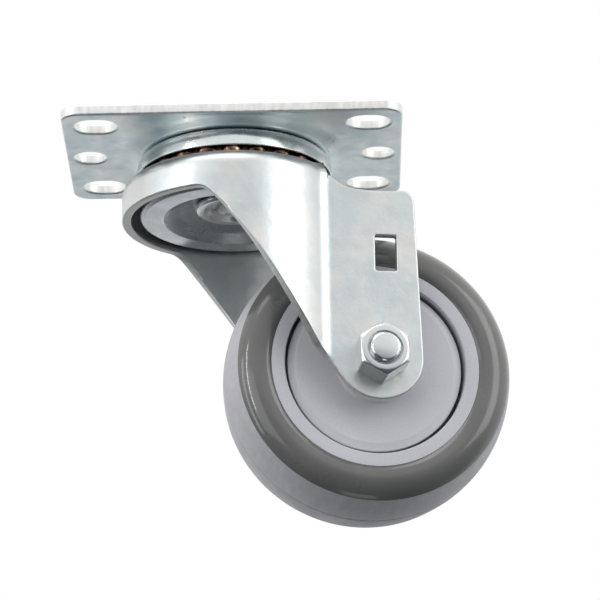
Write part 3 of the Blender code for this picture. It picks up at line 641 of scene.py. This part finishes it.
def fork_sheet():
    """Near half of the pressed sheet: crown, front wall and flat leg, as one open surface."""
    work = bmesh.new()
    plan = plan_points()
    shoulder_z = CROWN_TOP - FORK_SHOULDER
    rows = 26
    columns = []
    for x, y in plan:
        low = lower_edge(x)
        high = shoulder_z
        if x > CROWN_END + 1e-6:
            high = shoulder_z - 0.35 * (x - CROWN_END)
        columns.append([work.verts.new((x, y, low + (high - low) * i / rows)) for i in range(rows + 1)])
    for left, right in zip(columns, columns[1:]):
        for i in range(rows):
            work.faces.new((left[i], right[i], right[i + 1], left[i + 1]))

    levels = [i / 14 for i in range(14)]
    spokes = []
    for x, y in plan:
        if x > CROWN_END + 1e-6:
            continue
        reach = math.hypot(x, y)
        spokes.append((math.atan2(y, x), reach, reach))
    last = spokes[-1][0]
    for i in range(1, 25):
        turn = last * (1 - i / 24)
        outer = FORK_LEG_FACE / max(abs(math.sin(turn)), 1e-3)
        spokes.append((turn, max(CROWN_END / math.cos(turn), CROWN_REAR_RADIUS), outer))
    previous = None
    for turn, reach, outer in spokes:
        flat = reach - FORK_SHOULDER
        radii = [FORK_HOLE + (flat - FORK_HOLE) * level for level in levels]
        radii += [reach - FORK_SHOULDER * (1 - math.cos(math.radians(90 - 9 * k))) for k in range(11)]
        line = [
            work.verts.new((r * math.cos(turn), r * math.sin(turn), crown_height(r, outer - r)))
            for r in radii
        ]
        if previous:
            for i in range(len(line) - 1):
                work.faces.new((previous[i], line[i], line[i + 1], previous[i + 1]))
        previous = line

    # The crown's rear corners lean forwards, more so towards the leg and the top.
    for vert in work.verts:
        along = min(max((vert.co.x - 16 * MM) / (6 * MM), 0), 1)
        across = min(max((abs(vert.co.y) - 13 * MM) / (5 * MM), 0), 1)
        height = min(max((vert.co.z - shoulder_z) / FORK_SHOULDER, 0), 1)
        vert.co.x -= CORNER_LEAN * along * along * across * height

    leg_y = -FORK_LEG_FACE
    seam = [(v.co.x, v.co.z) for v in columns[-1]]
    rear_top = CROWN_TOP - 7.9 * MM
    corner = arc(42.2 * MM, rear_top - 3.2 * MM, 3.2 * MM, 90, 2, 8)
    lobe = arc(TRAIL, -AXLE_DROP, LOBE_RADIUS, 0, -144, 40)
    front = [(25.0 * MM, lower_edge(25.0 * MM)), (23.8 * MM, lower_edge(23.8 * MM))]
    outline = (seam + upper_edge_points() + corner + lobe + front)[::-1]
    window = rounded(
        [(34.5 * MM, -33.0 * MM), (40.3 * MM, -33.0 * MM), (40.3 * MM, -43.0 * MM), (34.5 * MM, -43.0 * MM)],
        [0.5 * MM] * 4,
    )[::-1]
    bore = arc(TRAIL, -AXLE_DROP, 4.3 * MM, 0, 360, 48)[:-1]
    flat_sheet(work, [outline, window, bore], LEG_MARGIN, lambda px, pz: (px, leg_y, pz))
    bmesh.ops.remove_doubles(work, verts=work.verts, dist=2e-6)
    bmesh.ops.recalc_face_normals(work, faces=work.faces)
    work.normal_update()
    crown_faces = [face for face in work.faces if abs(face.normal.z) > 0.9]
    if sum(face.normal.z for face in crown_faces) < 0:
        bmesh.ops.reverse_faces(work, faces=work.faces)
    return work


def make_fork():
    """Both halves of the sheet, given their thickness and rounded edges."""
    fork = mesh_from("fork_pressing", fork_sheet(), TO_FORK)
    modifier(
        fork, "other half", "MIRROR",
        use_axis=(False, True, False), use_clip=True, merge_threshold=1e-5,
    )
    modifier(
        fork, "sheet", "SOLIDIFY",
        thickness=FORK_SHEET, offset=-1, use_even_offset=True, material_offset_rim=1,
    )
    soften(fork, 0.35 * MM, 3, 50)
    put(fork, "fork", [ZINC_FORK, FORK_EDGE], "zinc_plate", "fork")


# ------------------------------------------------------------------------ axle


def hexagon(name, face, back, bore, place):
    """Hexagon nut or bolt head, lofted round the axle; its face's corners are cut to a cone.

    With a bore, the face has a countersunk hole, and without one it is closed.
    """
    flat = NUT_ACROSS / 2
    step_in = 1 if face > back else -1
    rim, cone = 6.1 * MM, math.tan(math.radians(30))
    work = bmesh.new()
    rings = []
    count = 240
    for step in range(count):
        turn = 2 * math.pi * step / count
        from_flat = (turn + math.pi / 6) % (math.pi / 3) - math.pi / 6
        side = min(flat / math.cos(from_flat), flat * 1.135)
        edge = face - step_in * (side - rim) * cone
        line = [
            (bore + 0.75 * MM if bore else 0.0, face),
            (rim - 0.15 * MM, face),
            (rim + 0.1 * MM, face - step_in * 0.05 * MM),
            (side - 0.12 * MM, edge + step_in * 0.07 * MM),
            (side, edge - step_in * 0.1 * MM),
            (side, back + step_in * 0.25 * MM),
            (side - 0.25 * MM, back),
            (bore, back),
        ]
        if bore:
            line.append((bore, face - step_in * 0.75 * MM))
        angle = turn + NUT_TURN + math.pi / 2 + math.pi / 6
        c, s = math.cos(angle), math.sin(angle)
        rings.append([work.verts.new((r * c, r * s, z)) for r, z in line])
    length = len(rings[0])
    for step, ring in enumerate(rings):
        following = rings[(step + 1) % count]
        for i in range(length if bore else length - 1):
            j = (i + 1) % length
            work.faces.new((ring[i], ring[j], following[j], following[i]))
    bmesh.ops.remove_doubles(work, verts=work.verts, dist=1e-7)
    bmesh.ops.recalc_face_normals(work, faces=work.faces)
    piece = mesh_from(name, work, place)
    modifier(piece, "even shading", "WEIGHTED_NORMAL", keep_sharp=True, weight=60)
    return piece


def make_nut():
    """Hexagon nut on the near leg."""
    back = -(FORK_LEG_FACE + 0.05 * MM)
    nut = hexagon("hex_nut", back - NUT_HEIGHT, back, BOLT_RADIUS + 0.05 * MM, TO_AXLE)
    put(nut, "fork", ZINC_BRIGHT, "zinc_fastener", "axle_nut")


def make_bolt():
    """Hexagon head on the far leg and a threaded shank with a domed end."""
    back = FORK_LEG_FACE + 0.05 * MM
    head = hexagon("bolt_head", back + BOLT_HEAD, back, 0, TO_AXLE)
    put(head, "fork", ZINC_BRIGHT, "zinc_fastener")
    end = -(FORK_LEG_FACE + NUT_HEIGHT + 1.5 * MM)
    pitch, root, crest = 1.25 * MM, 3.45 * MM, BOLT_RADIUS
    start = end + 1.1 * MM
    profile = [(0, back + 1 * MM), (crest, back + 1 * MM)]
    for turn in range(8, 0, -1):
        z = start + turn * pitch
        profile += [(crest, z), (root, z - 0.35 * pitch), (root, z - 0.55 * pitch), (crest, z - 0.9 * pitch)]
    profile.append((crest, end + 0.85 * MM))
    dome = 26.0 * MM
    reach = math.degrees(math.asin(3.6 * MM / dome))
    profile += arc(0, end + dome, dome, -90 + reach, -90, 10)
    radii = [0] * len(profile)
    radii[-12] = 0.35 * MM
    radii[-11] = 0.45 * MM
    shank = lathe("bolt_shank", rounded(profile, radii, closed=False), TO_AXLE, steps=96)
    put(shank, "fork", ZINC_BRIGHT, "zinc_fastener", "axle_bolt")


def make_spacer():
    half = 5.2 * MM
    tube = [(5.8 * MM, half), (5.8 * MM, -half), (4.3 * MM, -half), (4.3 * MM, half)]
    spacer = lathe("bearing_spacer", rounded(tube, [0.2 * MM] * 4), TO_AXLE, steps=96)
    put(spacer, "fork", BEARING_STEEL, "bearing_steel", "axle_spacer")


# ----------------------------------------------------------------------- wheel


def flipped(profile, side):
    return profile if side > 0 else [(radius, -height) for radius, height in reversed(profile)]


def make_guard(label, side):
    """Moulded disc that closes the rim, with a soft edge and a boss behind the leg."""
    face = 14.5 * MM
    profile = [
        (8.1 * MM, 20.2 * MM),
        (9.0 * MM, face + 0.6 * MM),
        (10.5 * MM, face),
        (21.3 * MM, face),
        (23.45 * MM, face - 0.55 * MM),
        (23.45 * MM, 13.0 * MM),
        (6.1 * MM, 13.0 * MM),
        (6.1 * MM, 12.8 * MM),
        (4.3 * MM, 12.8 * MM),
        (4.3 * MM, 20.2 * MM),
    ]
    radii = [0.3 * MM, 0.8 * MM, 0.8 * MM, 2.0 * MM, 0.35 * MM, 0.2 * MM, 0, 0, 0, 0]
    guard = lathe(f"guard_{label}", flipped(rounded(profile, radii), side), TO_AXLE, steps=192)
    put(guard, "fork", GUARD_GREY, "grey_plastic", f"thread_guard_{label}")


def make_core():
    """Rim, web and hub. The rim's faces show as the pale ring round each guard."""
    upper = [
        (8.5 * MM, 5.2 * MM),
        (11.3 * MM, 5.2 * MM),
        (11.3 * MM, 12.5 * MM),
        (14.5 * MM, 12.5 * MM),
        (14.5 * MM, 3.0 * MM),
        (24.4 * MM, 3.0 * MM),
        (24.4 * MM, 15.8 * MM),
        (28.05 * MM, 15.8 * MM),
    ]
    radii = [0, 0, 0, 0.4 * MM, 0.8 * MM, 0.8 * MM, 0.35 * MM, 0.15 * MM]
    profile = upper + [(r, -z) for r, z in reversed(upper)]
    core = lathe("core_moulding", rounded(profile, radii + radii[::-1]), TO_AXLE, steps=256)
    put(core, "wheel", CORE_GREY, "grey_plastic", "wheel_core")


def make_tread():
    """Tyre with a crowned running band, a thin parting line and full round shoulders."""
    middle = 38.5 * MM
    half = 16.4 * MM
    shoulder = 6.6 * MM
    band_edge = 14.2 * MM
    crown = 3.2 * MM
    side = []
    for i in range(14):
        z = 0.35 * MM + (half - shoulder - 0.35 * MM) * i / 13
        side.append((middle - crown * (z / half) ** 2, z))
    centre_r = side[-1][0] - shoulder
    side += arc(centre_r, half - shoulder, shoulder, 14, 90, 24)
    side += [
        (centre_r - 1.2 * MM, half - 0.06 * MM),
        (28.6 * MM, half - 0.35 * MM),
        (28.12 * MM, half - 0.65 * MM),
    ]
    profile = [(r, -z) for r, z in reversed(side)] + [(middle - 0.18 * MM, 0)] + side
    tread = lathe("tyre", profile, TO_AXLE, steps=288)
    mesh = tread.data
    mesh.materials.append(TREAD_SIDE)
    mesh.materials.append(TREAD_BAND)
    for face in mesh.polygons:
        reach = math.hypot(face.center.x, face.center.y)
        if abs(face.center.z) < band_edge - 1.6 * MM and reach > 30 * MM:
            face.material_index = 1
    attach(tread, "wheel")
    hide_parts("wheel_tread")


def make_bearings():
    """Rings, shields and balls of both bearings, better materials on the CAD shapes."""
    for label in ("near", "far"):
        for piece in ("inner_ring", "outer_ring", "ball_cage"):
            obj = frame["nodes"][f"bearing_{piece}_{label}"]
            obj.data.materials.clear()
            obj.data.materials.append(BEARING_STEEL)


# ----------------------------------------------------------------------- stage


def area_light(name, place, target, size, power):
    data = bpy.data.lights.new(name, "AREA")
    data.shape = "RECTANGLE"
    data.size, data.size_y = size
    data.energy = power
    light = bpy.data.objects.new(name, data)
    bpy.context.scene.collection.objects.link(light)
    light.location = place
    light.rotation_euler = (Vector(target) - Vector(place)).to_track_quat("-Z", "Y").to_euler()
    return light


def make_stage():
    """Pale floor well below the caster, soft studio light and a white surround."""
    work = bmesh.new()
    bmesh.ops.create_grid(work, x_segments=1, y_segments=1, size=0.3)
    floor = mesh_from("floor", work, Matrix.Translation((0, 0, -1.9)))
    look = Look("floor_paint", (0.80, 0.80, 0.80), 0.7)
    look.colour(look.noise(8, 3.0), [(0.3, (0.78, 0.78, 0.78)), (0.7, (0.83, 0.83, 0.83))])
    floor.data.materials.append(look.material)

    world = bpy.data.worlds.new("studio")
    bpy.context.scene.world = world
    world.use_nodes = True
    nodes, links = world.node_tree.nodes, world.node_tree.links
    background = nodes["Background"]
    coords = nodes.new("ShaderNodeTexCoord")
    lean = nodes.new("ShaderNodeVectorMath")
    lean.operation = "DOT_PRODUCT"
    lean.inputs[1].default_value = (0.10, 0.35, 0.93)
    links.new(coords.outputs["Generated"], lean.inputs[0])
    ramp = nodes.new("ShaderNodeValToRGB")
    spread = nodes.new("ShaderNodeMapRange")
    spread.inputs["From Min"].default_value = -1
    spread.inputs["From Max"].default_value = 1
    links.new(lean.outputs["Value"], spread.inputs["Value"])
    links.new(spread.outputs["Result"], ramp.inputs["Fac"])
    stops = [
        (0.0, (0.07, 0.075, 0.08)),
        (0.22, (0.09, 0.10, 0.11)),
        (0.38, (0.30, 0.32, 0.34)),
        (0.49, (0.76, 0.77, 0.775)),
        (0.68, (0.84, 0.84, 0.84)),
        (1.0, (1.0, 1.0, 1.0)),
    ]
    while len(ramp.color_ramp.elements) < len(stops):
        ramp.color_ramp.elements.new(0.5)
    for element, (place, colour) in zip(ramp.color_ramp.elements, stops):
        element.position = place
        element.color = (*colour, 1)
    path = nodes.new("ShaderNodeLightPath")
    choice = nodes.new("ShaderNodeMix")
    choice.data_type = "RGBA"
    links.new(path.outputs["Is Camera Ray"], choice.inputs["Factor"])
    links.new(ramp.outputs["Color"], choice.inputs["A"])
    choice.inputs["B"].default_value = (1, 1, 1, 1)
    links.new(choice.outputs["Result"], background.inputs["Color"])
    background.inputs["Strength"].default_value = 1.0

    area_light("key_right", (1.1, -0.75, 0.35), (0, 0, -0.05), (0.7, 1.1), 4.2)
    area_light("top_front", (-0.3, -0.9, 1.3), (0, 0, -0.05), (1.4, 0.7), 4.5)
    area_light("fill_left", (-0.9, -1.1, -0.15), (0, 0, -0.05), (1.0, 0.9), 3.0)
    area_light("strip_left", (-1.0, -0.75, 0.15), (0, 0, -0.05), (0.05, 0.8), 1.8)
    area_light("edge_left", (-1.2, -0.3, -0.1), (0, 0, -0.05), (0.25, 1.0), 1.6)


def make_camera():
    """Product view: from slightly below, through a long lens."""
    azimuth = math.radians(-0.345)
    climb = math.radians(19.31)
    roll = math.radians(-0.913)
    distance = 1.0574
    target = Vector((0.01736, 0, -0.04517))
    level = math.cos(climb)
    forward = Vector((math.sin(azimuth) * level, math.cos(azimuth) * level, math.sin(climb)))
    right = Vector((math.cos(azimuth), -math.sin(azimuth), 0))
    up = right.cross(forward)
    side = right * math.cos(roll) + up * math.sin(roll)
    top = up * math.cos(roll) - right * math.sin(roll)
    camera_data = bpy.data.cameras.new("camera")
    camera_data.sensor_width = 36
    camera_data.lens = 234.75
    camera_data.clip_end = 50
    camera = bpy.data.objects.new("camera", camera_data)
    bpy.context.scene.collection.objects.link(camera)
    turn = Matrix((side, top, -forward)).transposed().to_4x4()
    camera.matrix_world = Matrix.Translation(target - forward * distance) @ turn
    bpy.context.scene.camera = camera


make_top_plate()
make_race_ring()
make_kingpin()
make_race_cup()
make_balls()
make_fork()
make_nut()
make_bolt()
make_spacer()
for guard_label, guard_side in (("near", -1), ("far", 1)):
    make_guard(guard_label, guard_side)
make_core()
make_tread()
make_bearings()
make_stage()
make_camera()
bpy.context.scene.view_settings.view_transform = "Standard"
